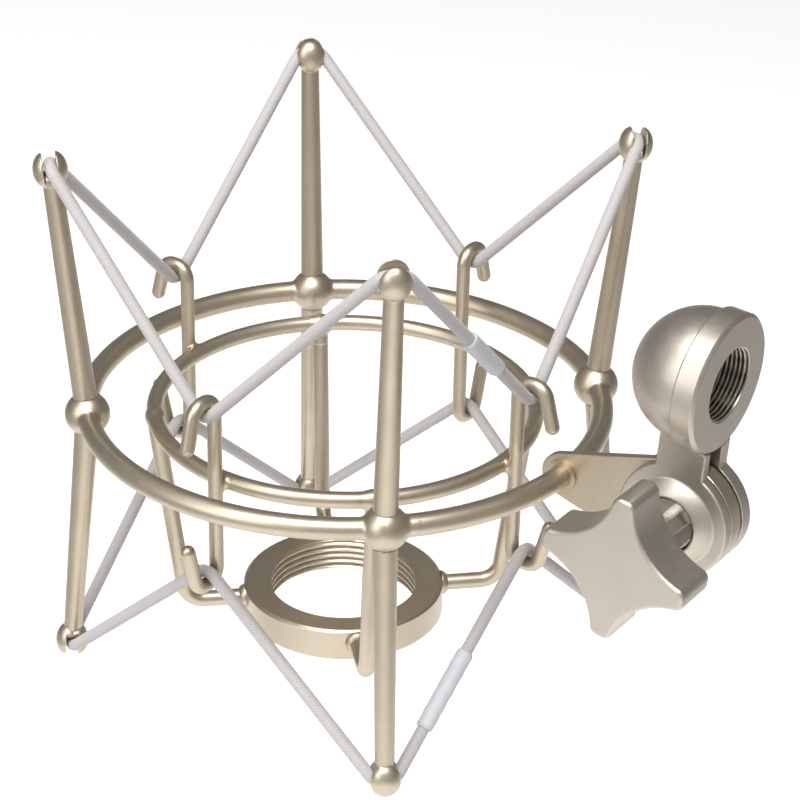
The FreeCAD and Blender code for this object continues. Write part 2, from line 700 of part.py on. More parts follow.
def build_stand_bush():
    """Flanged bush with the 5/8-27 female thread, pressed into the dome from its mouth."""
    body = doc.addObject("PartDesign::Body", "StandBush")
    grooves = 11
    rim_height = size("rim_width")
    depth = size("bush_depth") - 0.6
    top_groove = rim_height - 0.95
    pattern = threaded_ring(body, "Bush", (size("stand_bore"), -depth), (size("rim_radius"), rim_height),
                            {"left": "stand_bore", "right": "rim_radius", "top": "rim_width"},
                            "stand_bore", "stand_pitch", "stand_thread_depth", top_groove, grooves)
    turn_down = sketch_on(body, "BushSpigot", "XZ_Plane")
    rectangle(turn_down, (size("bush_radius"), -2 * depth), (2 * size("rim_radius"), 0.0),
              left="bush_radius")
    spigot = body.newObject("PartDesign::Groove", "BushTurnedDown")
    spigot.Profile = turn_down
    spigot.ReferenceAxis = (turn_down, ["V_Axis"])
    spigot.Angle = FULL_TURN
    body.Tip = spigot
    doc.recompute()
    rim = circle_edges(spigot.Shape, size("rim_radius"), rim_height)
    chamfer = dress(body, "Chamfer", spigot, rim, "RimChamfer", Size="rim_chamfer")
    mouth = circle_edges(chamfer.Shape, size("stand_bore"), rim_height)
    dress(body, "Chamfer", chamfer, mouth, "MouthChamfer", Size="mouth_chamfer")
    body.Placement = yoke_frame() * at(size("seam"), size("dome_side"), size("dome_level"), ALONG_X)
    return finished(body, "stand_thread_bush")


# ---------------------------------------------------------------- clamp screw and knob

def build_washers():
    frame = swivel_frame()
    half_plate = size("arm_plate") / 2
    washers = (("spacer_disc", "spacer_radius", half_plate, size("spacer_back")),
               ("friction_washer", "friction_radius", size("spacer_back"), size("slot_back")),
               ("steel_shim", "shim_radius", -size("slot_front"), -half_plate),
               ("pressure_washer", "washer_radius",
                -size("washer_seat") - size("washer_thickness"), -size("washer_seat")))
    for label, radius, front, back in washers:
        outer = disc(label + "_disc", frame, radius, front, back)
        hole = disc(label + "_hole", frame, "screw / 2 + screw_gap", front - 1, back + 1)
        finished(cut(label + "_ring", outer, hole), label)
    nut_front = size("back_face") + size("nut_boss_rise") - size("nut_thickness") - 0.1
    nut = primitive("Prism", "NutBlank", yoke_frame() * at(y=nut_front, rotation=ALONG_Y),
                    Circumradius="nut_circumradius", Height="nut_thickness")
    nut.Polygon = 6
    nut_hole = disc("NutHole", yoke_frame(), "screw / 2 + nut_gap", nut_front - 1,
                    nut_front + size("nut_thickness") + 1)
    finished(cut("ClampNut", nut, nut_hole), "clamp_nut")


def build_screw():
    frame = swivel_frame()
    shank = disc("ScrewShank", frame, "screw / 2", -size("screw_head"), size("screw_end"))
    point = doc.addObject("Part::Chamfer", "ClampScrew")
    point.Base = shank
    doc.recompute()
    end_edges = [i + 1 for i, edge in enumerate(shank.Shape.Edges)
                 if abs(frame.inverse().multVec(edge.CenterOfMass).y - size("screw_end")) < 0.01]
    point.Edges = [(i, size("cast_edge"), size("cast_edge")) for i in end_edges]
    finished(point, "clamp_screw")


def build_knob():
    """Four-lobed knob: a disc scalloped four times, on a boss with a core and four ribs."""
    body = doc.addObject("PartDesign::Body", "Knob")
    outline = sketch_on(body, "KnobDisc", "XY_Plane")
    circle = outline.addGeometry(Part.Circle(Vector(), Z_AXIS, size("knob_radius")), False)
    outline.addConstraint(Sketcher.Constraint("Coincident", circle, 3, -1, 1))
    index = outline.addConstraint(Sketcher.Constraint("Radius", circle, size("knob_radius")))
    outline.renameConstraint(index, "radius")
    bind(outline, **{"Constraints.radius": "knob_radius"})
    blank = body.newObject("PartDesign::Pad", "KnobBlank")
    blank.Profile = outline
    bind(blank, Length="knob_thickness")
    doc.recompute()
    scallop = sketch_on(body, "KnobScallop", "XY_Plane")
    centre = Vector(size("knob_scallop_centre"), 0, 0)
    bite = scallop.addGeometry(Part.Circle(centre, Z_AXIS, size("knob_scallop")), False)
    scallop.addConstraint(Sketcher.Constraint("PointOnObject", bite, 3, -1))
    for name, constraint, text in (
            ("centre", Sketcher.Constraint("DistanceX", -1, 1, bite, 3, centre.x), "knob_scallop_centre"),
            ("radius", Sketcher.Constraint("Radius", bite, size("knob_scallop")), "knob_scallop")):
        scallop.renameConstraint(scallop.addConstraint(constraint), name)
        bind(scallop, **{"Constraints." + name: text})
    pocket = body.newObject("PartDesign::Pocket", "KnobBite")
    pocket.Profile = scallop
    pocket.Type = "ThroughAll"
    pocket.Midplane = True
    doc.recompute()
    lobes = body.newObject("PartDesign::PolarPattern", "KnobLobes")
    lobes.Originals = [pocket]
    lobes.Axis = (scallop, ["N_Axis"])
    lobes.Angle = FULL_TURN
    lobes.Occurrences = 4
    body.Tip = lobes
    doc.recompute()
    thick = size("knob_thickness")

    def lobe_corner(edge):
        box = edge.BoundBox
        return box.ZLength > thick - 0.01 and box.XLength < 0.01 and box.YLength < 0.01
    tips = dress(body, "Fillet", lobes, edges_where(lobes.Shape, lobe_corner), "KnobTips", Radius="knob_tip")

    def face_edge(edge):
        box = edge.BoundBox
        return box.ZLength < 0.01
    dress(body, "Fillet", tips, edges_where(tips.Shape, face_edge), "KnobEdges", Radius="knob_edge")
    boss_length = size("knob_back") - size("washer_seat") - size("washer_thickness")
    core_sketch = sketch_on(body, "KnobCore", "XY_Plane")
    core_circle = core_sketch.addGeometry(Part.Circle(Vector(), Z_AXIS, size("knob_core")), False)
    core_sketch.addConstraint(Sketcher.Constraint("Coincident", core_circle, 3, -1, 1))
    index = core_sketch.addConstraint(Sketcher.Constraint("Radius", core_circle, size("knob_core")))
    core_sketch.renameConstraint(index, "radius")
    bind(core_sketch, **{"Constraints.radius": "knob_core"})
    core = body.newObject("PartDesign::Pad", "KnobCorePad")
    core.Profile = core_sketch
    core.Reversed = True
    bind(core, Length="knob_back - washer_seat - washer_thickness")
    body.Tip = core
    doc.recompute()
    rib_sketch = sketch_on(body, "KnobRib", "XY_Plane")
    half = size("knob_rib_width") / 2
    rectangle(rib_sketch, (-size("knob_rib"), -half), (size("knob_rib"), half),
              left="0 - knob_rib", right="knob_rib",
              bottom="0 - knob_rib_width / 2", top="knob_rib_width / 2")
    rib = body.newObject("PartDesign::Pad", "KnobRibPad")
    rib.Profile = rib_sketch
    rib.Reversed = True
    bind(rib, Length="knob_back - washer_seat - washer_thickness")
    doc.recompute()
    ribs = body.newObject("PartDesign::PolarPattern", "KnobRibs")
    ribs.Originals = [rib]
    ribs.Axis = (rib_sketch, ["N_Axis"])
    ribs.Angle = RIGHT_ANGLE
    ribs.Occurrences = 2
    body.Tip = ribs
    doc.recompute()
    hole_sketch = sketch_on(body, "KnobBore", "XY_Plane")
    hole = hole_sketch.addGeometry(Part.Circle(Vector(), Z_AXIS, size("screw") / 2), False)
    hole_sketch.addConstraint(Sketcher.Constraint("Coincident", hole, 3, -1, 1))
    index = hole_sketch.addConstraint(Sketcher.Constraint("Radius", hole, size("screw") / 2))
    hole_sketch.renameConstraint(index, "radius")
    bind(hole_sketch, **{"Constraints.radius": "screw / 2"})
    bore = body.newObject("PartDesign::Pocket", "KnobBorePocket")
    bore.Profile = hole_sketch
    bore.SideType = "Two sides"
    bore.Type = "Length"
    bore.Type2 = "Length"
    bore.Length = 2 * boss_length
    bind(bore, Length2="screw_head - knob_back")
    body.Tip = bore
    doc.recompute()
    facing = turned(X_AXIS, RIGHT_ANGLE) * turned(Z_AXIS, RIGHT_ANGLE / 2 - size("knob_turned"))
    body.Placement = swivel_frame() * at(y=-size("knob_back"), rotation=facing)
    return finished(body, "star_knob")


# ---------------------------------------------------------------- assembly

build_outer_ring()
for side in POSTS:
    sphere = build_node_ball(side)
    for level in ("upper", "lower"):
        build_post(level, side, sphere)
for level, share in (("upper", 0.62), ("lower", 0.42)):
    tip_corner, hook_corner = build_cord(level)
    build_sleeve(level, tip_corner, hook_corner, share)
inner_ring = build_inner_ring()
build_collar()
for corner in HOOKS:
    build_hook(corner, inner_ring)
for side in POSTS:
    build_leg(side)
build_arm()
build_yoke()
build_stand_bush()
build_washers()
build_screw()
build_knob()
doc.recompute()

for obj in doc.Objects:
    if "Invalid" in obj.State or "Error" in obj.State:
        raise RuntimeError("%s failed: %s" % (obj.Label, obj.State))
os.makedirs("parts", exist_ok=True)
for obj in sub_parts:
    shape = obj.Shape
    if shape.isNull() or not shape.isValid():
        raise RuntimeError("%s has a bad shape" % obj.Label)
    shape.exportStep(os.path.join("parts", obj.Label + ".step"))
    print("%-24s solids %d  volume %.1f" % (obj.Label, len(shape.Solids), shape.Volume))
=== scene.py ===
"""Looks for the elastic suspension mount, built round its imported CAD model."""

import json
import math

import bmesh
import bpy
import numpy as np
from mathutils import Matrix, Vector


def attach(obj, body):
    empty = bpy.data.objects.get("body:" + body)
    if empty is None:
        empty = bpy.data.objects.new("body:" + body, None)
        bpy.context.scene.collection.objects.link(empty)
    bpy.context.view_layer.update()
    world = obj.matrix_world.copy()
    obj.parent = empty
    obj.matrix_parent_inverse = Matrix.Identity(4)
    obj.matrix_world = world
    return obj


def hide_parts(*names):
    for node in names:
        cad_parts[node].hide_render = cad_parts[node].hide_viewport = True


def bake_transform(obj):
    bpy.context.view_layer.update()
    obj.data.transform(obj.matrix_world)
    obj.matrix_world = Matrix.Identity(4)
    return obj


MM = 0.001

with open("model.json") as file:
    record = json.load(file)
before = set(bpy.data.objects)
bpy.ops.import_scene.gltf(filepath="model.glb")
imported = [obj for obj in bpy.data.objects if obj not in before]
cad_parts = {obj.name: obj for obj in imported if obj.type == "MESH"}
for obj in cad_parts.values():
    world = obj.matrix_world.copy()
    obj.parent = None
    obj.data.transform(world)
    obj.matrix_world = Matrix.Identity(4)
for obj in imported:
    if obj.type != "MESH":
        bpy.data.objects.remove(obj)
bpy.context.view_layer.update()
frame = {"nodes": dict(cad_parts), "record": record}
nodes = frame["nodes"]

SIDES = {"front": -90.0, "right": 0.0, "back": 90.0, "left": 180.0}
HOOKS = {"front_right": -45.0, "back_right": 45.0, "back_left": 135.0, "front_left": 225.0}

# The CAD model's main sizes, in millimetres.
RING_LEVEL, RING_RADIUS, RING_WIRE = 45.0, 55.0, 4.7
NODE_BALL, POST_RISE, POST_SPREAD = 9.6, 55.8, 60.4
CRADLE_LEVEL, CRADLE_RADIUS, CRADLE_WIRE = 43.3, 40.8, 3.5
HOOK_WIRE, HOOK_RADIUS, HOOK_BEND, HOOK_TOP, HOOK_FOOT = 3.0, 43.8, 3.1, 63.3, 21.4
LEG_WIRE, LEG_FOOT_RADIUS, LEG_FOOT_DEPTH = 3.5, 35.0, 2.9
COLLAR_RADIUS, COLLAR_DEPTH, COLLAR_BORE = 22.1, 7.3, 16.2
CORD, CORD_LIFT, CORD_GAP, SADDLE_RADIUS = 2.7, 1.0, 0.1, 2.5
COLLAR_PITCH, COLLAR_THREAD = 1.5, 0.8
ARM_ANGLE, ARM_LENGTH, YOKE_TILT = -44.0, 27.0, 3.7
BUSH_BORE, BUSH_RADIUS, BUSH_DEPTH, BUSH_PITCH, BUSH_THREAD = 7.43, 10.0, 7.0, 0.9407, 0.5
RIM_RADIUS, RIM_WIDTH = 14.5, 5.0
BUSH_SEAT = (0.6, 1.65, 30.7)      # the rim's back face, in the yoke's own frame
SLEEVES = {"upper": (0.62, 14.0), "lower": (0.42, 18.0)}    # share of the run, and length

# The camera in millimetres and degrees, and its foot point on the floor in metres and radians.
CAMERA_PLACE, CAMERA_TARGET = (-71.31, -485.2, 301.3), (11.52, -2.01, 44.94)
CAMERA_FOOT, CAMERA_HEADING = (-0.0713, -0.485, 0.0), -0.17
CAMERA_ROLL = 1.24


def polar(radius, degrees, height):
    """A point in millimetres, from a cylinder's coordinates."""
    angle = math.radians(degrees)
    return Vector((radius * math.cos(angle), radius * math.sin(angle), height))


# ------------------------------------------------------------------ materials

def node_material(name, base, metallic=0.0, roughness=0.5):
    """A material with its principled shader, ready for more nodes."""
    material = bpy.data.materials.new(name)
    material.use_nodes = True
    tree = material.node_tree
    shader = tree.nodes["Principled BSDF"]
    shader.inputs["Base Color"].default_value = (*base, 1.0)
    shader.inputs["Metallic"].default_value = metallic
    shader.inputs["Roughness"].default_value = roughness
    return material, tree, shader


def texture_noise(tree, scale, detail=3.0, roughness=0.5, coordinates="Object"):
    source = tree.nodes.new("ShaderNodeTexCoord")
    noise = tree.nodes.new("ShaderNodeTexNoise")
    noise.inputs["Scale"].default_value = scale
    noise.inputs["Detail"].default_value = detail
    noise.inputs["Roughness"].default_value = roughness
    tree.links.new(source.outputs[coordinates], noise.inputs["Vector"])
    return noise


def ranged(tree, value, low, high, from_low=0.3, from_high=0.7):
    """A value stretched from one range to another, clamped."""
    mapping = tree.nodes.new("ShaderNodeMapRange")
    mapping.inputs["From Min"].default_value = from_low
    mapping.inputs["From Max"].default_value = from_high
    mapping.inputs["To Min"].default_value = low
    mapping.inputs["To Max"].default_value = high
    tree.links.new(value, mapping.inputs["Value"])
    return mapping.outputs["Result"]


def math_node(tree, operation, first, second=None):
    node = tree.nodes.new("ShaderNodeMath")
    node.operation = operation
    tree.links.new(first, node.inputs[0])
    if second is not None:
        tree.links.new(second, node.inputs[1])
    return node.outputs["Value"]


def tinted(tree, shader, factor, dark, light):
    mix = tree.nodes.new("ShaderNodeMix")
    mix.data_type = "RGBA"
    mix.inputs["A"].default_value = (*dark, 1.0)
    mix.inputs["B"].default_value = (*light, 1.0)
    tree.links.new(factor, mix.inputs["Factor"])
    tree.links.new(mix.outputs["Result"], shader.inputs["Base Color"])


def bumped(tree, shader, height, strength, distance):
    bump = tree.nodes.new("ShaderNodeBump")
    bump.inputs["Strength"].default_value = strength
    bump.inputs["Distance"].default_value = distance
    tree.links.new(height, bump.inputs["Height"])
    tree.links.new(bump.outputs["Normal"], shader.inputs["Normal"])


def satin_nickel(name, light, dark, rough_low, rough_high, grain):
    """Plated metal with a fine blasted grain, faint clouding and slightly uneven gloss."""
    material, tree, shader = node_material(name, light, metallic=1.0)
    cloud = texture_noise(tree, 90.0, 4.0, 0.6)
    tinted(tree, shader, ranged(tree, cloud.outputs["Fac"], 0.0, 1.0), dark, light)
    smear = texture_noise(tree, 420.0, 3.0, 0.6)
    gloss = ranged(tree, smear.outputs["Fac"], rough_low, rough_high)
    tree.links.new(gloss, shader.inputs["Roughness"])
    blast = texture_noise(tree, 3600.0, 1.0, 0.5)
    bumped(tree, shader, blast.outputs["Fac"], grain, 0.00002)
    return material


def braided_cord(name):
    """Light grey braided sheath: fine yarns that cross."""
    light, dark = (0.595, 0.56, 0.55), (0.385, 0.36, 0.358)
    material, tree, shader = node_material(name, light, roughness=0.72)
    shader.inputs["Sheen Weight"].default_value = 0.35
    shader.inputs["Sheen Roughness"].default_value = 0.45
    shader.inputs["Specular IOR Level"].default_value = 0.3
    coords = tree.nodes.new("ShaderNodeUVMap")
    coords.uv_map = "run"
    waves = []
    for turn in (0.62, -0.62):
        mapping = tree.nodes.new("ShaderNodeMapping")
        mapping.inputs["Rotation"].default_value = (0.0, 0.0, turn)
        tree.links.new(coords.outputs["UV"], mapping.inputs["Vector"])
        wave = tree.nodes.new("ShaderNodeTexWave")
        wave.wave_type = "BANDS"
        wave.bands_direction = "Y"
        wave.wave_profile = "SIN"
        wave.inputs["Scale"].default_value = 1000.0
        wave.inputs["Distortion"].default_value = 0.25
        wave.inputs["Detail"].default_value = 1.0
        tree.links.new(mapping.outputs["Vector"], wave.inputs["Vector"])
        waves.append(wave.outputs["Fac"])
    cross = math_node(tree, "MULTIPLY", *waves)
    # The yarns are tinted darker down in the grooves between them, following the bump: painted shade on
    # top of the weave's pattern.
    tinted(tree, shader, ranged(tree, cross, 0.0, 1.0, 0.02, 0.5), dark, light)
    bumped(tree, shader, cross, 0.5, 0.00012)
    return material


def plain(name, base, roughness, grain_scale=900.0, bump=0.15, metallic=0.0, spread=0.85):
    """A quiet surface: slight mottling, slightly uneven gloss and a fine grain."""
    material, tree, shader = node_material(name, base, metallic, roughness)
    mottle = texture_noise(tree, grain_scale / 4, 3.0)
    dark = tuple(channel * spread for channel in base)
    tinted(tree, shader, ranged(tree, mottle.outputs["Fac"], 0.0, 1.0), dark, base)
    fine = texture_noise(tree, grain_scale, 3.0)
    gloss = ranged(tree, fine.outputs["Fac"], roughness * 0.85, min(1.0, roughness * 1.15))
    tree.links.new(gloss, shader.inputs["Roughness"])
    bumped(tree, shader, fine.outputs["Fac"], bump, 0.00004)
    return material


ROD = satin_nickel("satin_nickel_rod", (0.545, 0.475, 0.368), (0.50, 0.43, 0.328), 0.36, 0.43, 0.15)
CASTING = satin_nickel("satin_nickel_casting", (0.555, 0.505, 0.44), (0.52, 0.47, 0.405),
                       0.40, 0.47, 0.2)
THREAD = satin_nickel("satin_nickel_thread", (0.55, 0.475, 0.37), (0.51, 0.44, 0.34),
                      0.30, 0.36, 0.1)
# Near-black thread roots: painted shade down in the bush's thread grooves, not a colour of the metal.
PAINTED_ROOT_SHADE = satin_nickel("thread_root_painted_shade", (0.16, 0.145, 0.125), (0.10, 0.09, 0.08), 0.35, 0.45, 0.1)
BRAID = braided_cord("elastic_braid")
WRAP = plain("white_wrap", (0.54, 0.55, 0.575), 0.55, 1500.0, 0.2, spread=0.93)
BRIGHT = plain("bright_steel", (0.80, 0.80, 0.81), 0.12, 1200.0, 0.05, metallic=1.0, spread=0.95)
PAD = plain("friction_black", (0.02, 0.02, 0.02), 0.6, 1500.0, 0.3)

FINISHES = {"plated_rod": ROD, "plated_turning": ROD, "plated_casting": CASTING, "elastic": BRAID,
            "splice_sleeve": WRAP, "friction_pad": PAD, "bright_steel": BRIGHT}


def paint(obj, material):
    obj.data.materials.clear()
    obj.data.materials.append(material)


def smooth(obj, degrees=32.0):
    """Soft shading, with creases kept where faces meet at more than this angle."""
    mesh = obj.data
    mesh.polygons.foreach_set("use_smooth", [True] * len(mesh.polygons))
    mesh.set_sharp_from_angle(angle=math.radians(degrees))


def rounded(obj, voxel, passes):
    """Modifiers that re-skin a CAD node finely and soften its edges, as blasting and plating do."""
    weld = obj.modifiers.new("close_seams", "WELD")
    weld.merge_threshold = 0.000002
    skin = obj.modifiers.new("fine_skin", "REMESH")
    skin.mode = "VOXEL"
    skin.voxel_size = voxel * MM
    skin.use_smooth_shade = True
    soften = obj.modifiers.new("softened_edges", "SMOOTH")
    soften.factor = 0.5
    soften.iterations = passes


for entry in frame["record"]["subparts"]:
    node = nodes[entry["node"]]
    paint(node, FINISHES[entry["material_slot"]])
    smooth(node)


# ------------------------------------------------------------------ mesh helpers

def new_piece(name, verts, faces, material, body=None, crease=32.0):
    """A mesh piece from points in millimetres."""
    mesh = bpy.data.meshes.new(name)
    mesh.from_pydata([tuple(v * MM for v in point) for point in verts], [], faces)
    mesh.update()
    obj = bpy.data.objects.new(name, mesh)
    bpy.context.scene.collection.objects.link(obj)
    paint(obj, material)
    smooth(obj, crease)
    if body:
        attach(obj, body)
    return obj


def zigzag(level):
    """Corners and corner radii of a cord's closed path over the posts and round the hooks."""
    up = 1.0 if level == "upper" else -1.0
    outward = POST_SPREAD - RING_RADIUS
    length = math.hypot(outward, POST_RISE)
    lean = math.atan2(outward, POST_RISE)
    reach = length + CORD_LIFT
    post_point = Vector((RING_RADIUS + math.sin(lean) * reach, 0.0,
                         RING_LEVEL + up * math.cos(lean) * reach))
    wrap = (CORD + HOOK_WIRE) / 2 + CORD_GAP
    bend_level = HOOK_TOP if up > 0 else HOOK_FOOT
    hook_point = polar(HOOK_RADIUS + HOOK_BEND, 45.0, bend_level - up * wrap)
    saddle = SADDLE_RADIUS + CORD / 2
    tip, hook = post_point.copy(), hook_point.copy()
    for _ in range(8):
        tip = post_point - overhang(tip, hook, Vector((hook.x, -hook.y, hook.z)), saddle)
        hook = hook_point - overhang(hook, tip, Vector((0.0, tip.x, tip.z)), wrap)
    corners, radii = [], []
    for quarter in range(4):
        spin = Matrix.Rotation(math.radians(90.0 * quarter), 3, "Z")
        corners += [spin @ tip, spin @ hook]
        radii += [saddle, wrap]
    return corners, radii


def overhang(corner, one_way, other_way, radius):
    """From the middle of the arc that rounds a corner, out to the corner, reversed."""
    back = (one_way - corner).normalized()
    ahead = (other_way - corner).normalized()
    half = back.angle(ahead) / 2
    return (back + ahead).normalized() * (radius / math.sin(half) - radius)


def rounded_line(corners, radii, step):
    """Evenly spaced points round a closed path whose corners are rounded by arcs."""
    count = len(corners)
    line = []
    for i in range(count):
        before, here, after = corners[i - 1], corners[i], corners[(i + 1) % count]
        back = (before - here).normalized()
        ahead = (after - here).normalized()
        half = back.angle(ahead) / 2
        reach = radii[i] / math.tan(half)
        bisector = (back + ahead).normalized()
        centre = here + bisector * (radii[i] / math.sin(half))
        start = here + back * reach - centre
        normal = start.cross(-back).normalized()
        sweep = math.pi - 2 * half
        steps = max(2, round(radii[i] * sweep / step))
        line += [centre + Matrix.Rotation(sweep * k / steps, 3, normal) @ start for k in range(steps)]
        end = here + ahead * reach
        next_back = (here - after).normalized()
        far = corners[(i + 2) % count]
        next_half = next_back.angle((far - after).normalized()) / 2
        goal = after + next_back * (radii[(i + 1) % count] / math.tan(next_half))
        pieces = max(1, round((goal - end).length / step))
        line += [end.lerp(goal, k / pieces) for k in range(pieces)]
    return line


def tube(name, line, radius, material, around=20, closed=True, relief=None):
    """A round tube along a line of points, with a UV map that runs in metres along and round it."""
    count = len(line)
    tangents = [(line[(i + 1) % count] - line[i - 1]).normalized() for i in range(count)]
    if not closed:
        tangents[0] = (line[1] - line[0]).normalized()
        tangents[-1] = (line[-1] - line[-2]).normalized()
    side = tangents[0].orthogonal().normalized()
    frames = []
    for tangent in tangents:
        side = (side - tangent * side.dot(tangent)).normalized()
        frames.append((side.copy(), tangent.cross(side)))
    twist = 0.0
    if closed:
        last, first = frames[-1], frames[0]
        carried = (last[0] - tangents[0] * last[0].dot(tangents[0])).normalized()
        twist = math.atan2(carried.dot(first[1]), carried.dot(first[0]))
    along = [0.0]
    for i in range(1, count + 1):
        along.append(along[-1] + (line[i % count] - line[i - 1]).length)
    verts, faces, uvs = [], [], []
    for i in range(count):
        untwist = -twist * along[i] / along[-1]
        for k in range(around):
            angle = 2 * math.pi * k / around + untwist
            swell = relief(along[i], angle) if relief else 0.0
            outward = frames[i][0] * math.cos(angle) + frames[i][1] * math.sin(angle)
            verts.append(line[i] + outward * (radius + swell))
    rows = count if closed else count - 1
    width = 2 * math.pi * radius
    for i in range(rows):
        for k in range(around):
            right = (k + 1) % around
            nxt = (i + 1) % count
            faces.append((i * around + k, i * around + right, nxt * around + right, nxt * around + k))
            left_u, right_u = width * k / around * MM, width * (k + 1) / around * MM
            low_v, high_v = along[i] * MM, along[i + 1] * MM
            uvs += [(left_u, low_v), (right_u, low_v), (right_u, high_v), (left_u, high_v)]
    if not closed:
        faces.append(tuple(range(around))[::-1])
        faces.append(tuple(range((count - 1) * around, count * around)))
        uvs += [(0.0, 0.0)] * (2 * around)
    obj = new_piece(name, verts, faces, material, crease=60.0)
    layer = obj.data.uv_layers.new(name="run")
    layer.data.foreach_set("uv", [value for uv in uvs for value in uv])
    return obj


# ------------------------------------------------------------------ elastic cords

def braid_relief(distance, angle):
    """Height of the crossing yarns above the cord's mean surface."""
    pitch, strands = 2.6, 8
    lay = 2 * math.pi * distance / pitch
    return 0.035 * math.sin(strands * angle / 2 + lay) * math.sin(strands * angle / 2 - lay)


def flow_between(piece, level):
    """Bakes the piece's placement into its mesh, the same for both levels."""
    if level == "upper":
        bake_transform(piece)
    else:
        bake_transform(piece)


for level in ("upper", "lower"):
    corners, radii = zigzag(level)
    cord = tube("braided_%s_cord" % level, rounded_line(corners, radii, 0.3), CORD / 2 - 0.05, BRAID,
                relief=braid_relief)
    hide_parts(level + "_elastic")
    flow_between(cord, level)
    share, length = SLEEVES[level]
    tip, hook = corners[-2], corners[-1]
    middle, way = tip.lerp(hook, share), (hook - tip).normalized()
    line = [middle + way * (length * (k / 40 - 0.5)) for k in range(41)]

    def wrap_relief(distance, angle, total=length):
        """Soft ends, a lapped seam and faint creases."""
        edge = min(distance, total - distance)
        ends = -0.22 * max(0.0, 1.0 - edge / 0.5) ** 2
        seam = 0.16 if math.cos(angle - 0.8) > 0.86 else 0.0
        return ends + seam + 0.04 * math.sin(distance * 1.7 + 2.0 * math.sin(angle))
    sleeve = tube("blank_%s_label" % level, line, CORD / 2 + 0.42, WRAP, 40, False, wrap_relief)
    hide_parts(level + "_splice_sleeve")
    flow_between(sleeve, level)


# ------------------------------------------------------------------ softened and welded metal

for side in SIDES:
    for level in ("upper", "lower"):
        rounded(nodes["%s_post_%s" % (level, side)], 0.16, 3)
rounded(nodes["swivel_yoke"], 0.2, 6)


def icosphere(subdivisions):
    """Directions spread evenly over a sphere, with their faces."""
    ball = bmesh.new()
    bmesh.ops.create_icosphere(ball, subdivisions=subdivisions, radius=1.0)
    directions = np.array([v.co[:] for v in ball.verts])
    faces = [tuple(v.index for v in face.verts) for face in ball.faces]
    ball.free()
    return directions, faces


DIRECTIONS, BALL_FACES = icosphere(6)


def rod(start, end, radius, end_radius=None):
    """Distance to a round rod that may taper."""
    a, b = np.array(start), np.array(end)
    last = radius if end_radius is None else end_radius

    def distance(points):
        share = np.clip((points - a) @ (b - a) / ((b - a) @ (b - a)), 0.0, 1.0)
        from_axis = np.linalg.norm(points - a - share[:, None] * (b - a), axis=1)
        return from_axis - (radius + share * (last - radius))
    return distance


def ring(level, major, minor):
    def distance(points):
        flat = np.hypot(points[:, 0], points[:, 1]) - major
        return np.hypot(flat, points[:, 2] - level) - minor
    return distance


def ball(centre, radius):
    c = np.array(centre)
    return lambda points: np.linalg.norm(points - c, axis=1) - radius


def melted(distances, blend):
    """Smooth union of distances, which leaves a fillet of about the blend's size in each corner."""
    total = distances[0]
    for other in distances[1:]:
        mix = np.clip(0.5 + 0.5 * (other - total) / blend, 0.0, 1.0)
        total = other * (1 - mix) + total * mix - blend * mix * (1 - mix)
    return total


def weld(name, centre, solids, blend, reach, body, sink=0.012):
    """The skin of metal that fills the corners where rods meet, out to a reach from the joint."""
    c = np.array(centre)
    near = np.zeros(len(DIRECTIONS))
    far = np.full(len(DIRECTIONS), reach)
    for _ in range(22):
        middle = (near + far) / 2
        inside = melted([solid(c + DIRECTIONS * middle[:, None]) for solid in solids], blend) < -sink
        near = np.where(inside, middle, near)
        far = np.where(inside, far, middle)
    points = c + DIRECTIONS * near[:, None]
    piece = new_piece(name, points.tolist(), BALL_FACES, ROD, body, crease=70.0)
    return piece


outer = ring(RING_LEVEL, RING_RADIUS, RING_WIRE / 2)
inner = ring(CRADLE_LEVEL, CRADLE_RADIUS, CRADLE_WIRE / 2)
for side, angle in SIDES.items():
    centre = polar(RING_RADIUS, angle, RING_LEVEL)
    weld("weld_node_" + side, centre, [ball(centre, NODE_BALL / 2), outer],
         blend=0.7, reach=7.4, body="frame")
    top = polar(CRADLE_RADIUS, angle, CRADLE_LEVEL)
    foot = polar(LEG_FOOT_RADIUS, angle, -LEG_FOOT_DEPTH)
    weld("weld_leg_" + side, top - Vector((0, 0, 0.6)), [inner, rod(top, foot, LEG_WIRE / 2)],
         blend=1.6, reach=4.6, body="cradle")
for corner, angle in HOOKS.items():
    low, high = polar(HOOK_RADIUS, angle, HOOK_FOOT + 4), polar(HOOK_RADIUS, angle, HOOK_TOP - 4)
    touch = polar(CRADLE_RADIUS + 1.55, angle, CRADLE_LEVEL)
    weld("weld_hook_" + corner, touch, [inner, rod(low, high, HOOK_WIRE / 2)],
         blend=1.7, reach=4.4, body="cradle")


# ------------------------------------------------------------------ threaded pieces

def thread_cut(turns):
    """Depth of a V thread, from 0 on its flat crest to 1 at its root, at a number of turns."""
    from_root = abs(2.0 * (turns % 1.0) - 1.0)
    return min(1.0, max(0.0, (0.82 - from_root) / 0.72))


